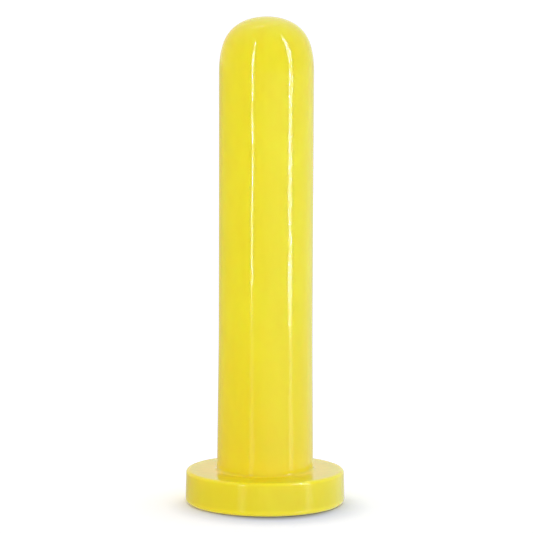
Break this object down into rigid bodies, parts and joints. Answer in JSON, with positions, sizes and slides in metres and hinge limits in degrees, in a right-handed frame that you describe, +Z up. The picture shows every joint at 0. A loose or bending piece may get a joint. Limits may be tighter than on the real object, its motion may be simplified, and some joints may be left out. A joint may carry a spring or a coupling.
{
  "type": "delineator post",
  "caption": "Flexible self-righting delineator post: smooth domed cylinder moulded in one with a thick round foot, screwed to a plate with a threaded ground anchor bush.",
  "frame": {"origin": "centre of the foot's underside, on the ground", "axes": "+Z up along the post's centre line, from the foot to the domed top; the bending axis is parallel to X"},
  "size_m": [0.2458, 0.2458, 0.75],
  "materials": {
    "yellow_elastomer": "glossy, cloudy translucent yellow elastomer with faint moulding ripples",
    "galvanised_steel": "hot-dip galvanised, matt spangle",
    "zinc_plated_steel": "bright zinc plate, machined",
    "black_rubber": "matt EPDM"
  },
  "bodies": {
    "base": {"foot_moulding": "yellow_elastomer", "flex_root": "yellow_elastomer", "armature_ring": "galvanised_steel", "base_plate": "galvanised_steel", "ground_pad": "black_rubber", "plate_screws": "zinc_plated_steel", "anchor_bush": "zinc_plated_steel", "bush_washers": "zinc_plated_steel", "bush_screws": "zinc_plated_steel"},
    "post": {"shaft_moulding": "yellow_elastomer"}
  },
  "joints": [
    {"name": "post_flex", "type": "hinge", "parent": "base", "child": "post", "pos_m": [0, 0, 0.14], "axis": [1, 0, 0], "range_deg": [-90, 90], "stiffness_Nm_per_rad": 450, "deforming": ["flex_root"]}
  ]
}
